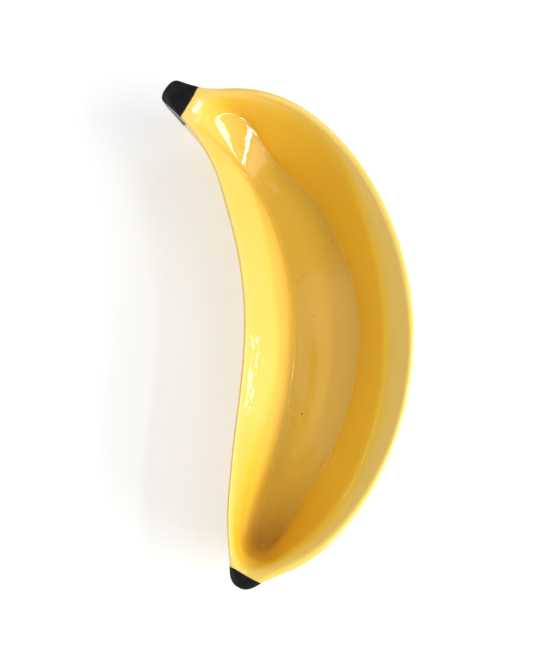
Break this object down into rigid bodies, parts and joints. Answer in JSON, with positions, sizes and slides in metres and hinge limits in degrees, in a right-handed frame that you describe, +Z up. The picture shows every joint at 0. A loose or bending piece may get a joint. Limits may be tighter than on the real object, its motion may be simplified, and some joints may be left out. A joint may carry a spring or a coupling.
{
  "type": "banana-shaped serving dish",
  "caption": "Glazed earthenware dish in the shape of half a banana: a deep crescent bowl with a flat floor, a rounded rim, a stem stub and a blossom tip.",
  "frame": {"origin": "on the surface that the dish stands on, under the middle of its bounding box", "axes": "+Z up, out of the hollow; +Y along the dish towards the stem; +X towards the convex back of the banana"},
  "size_m": [0.1114, 0.2612, 0.045],
  "materials": {
    "bisque_clay": "matte, unglazed",
    "yellow_glaze": "high gloss",
    "black_glaze": "gloss"
  },
  "bodies": {
    "root": {"clay_body": "bisque_clay", "yellow_glaze": "yellow_glaze", "underside_glaze": "yellow_glaze", "stem_black_glaze": "black_glaze", "tip_black_glaze": "black_glaze"}
  },
  "joints": []
}
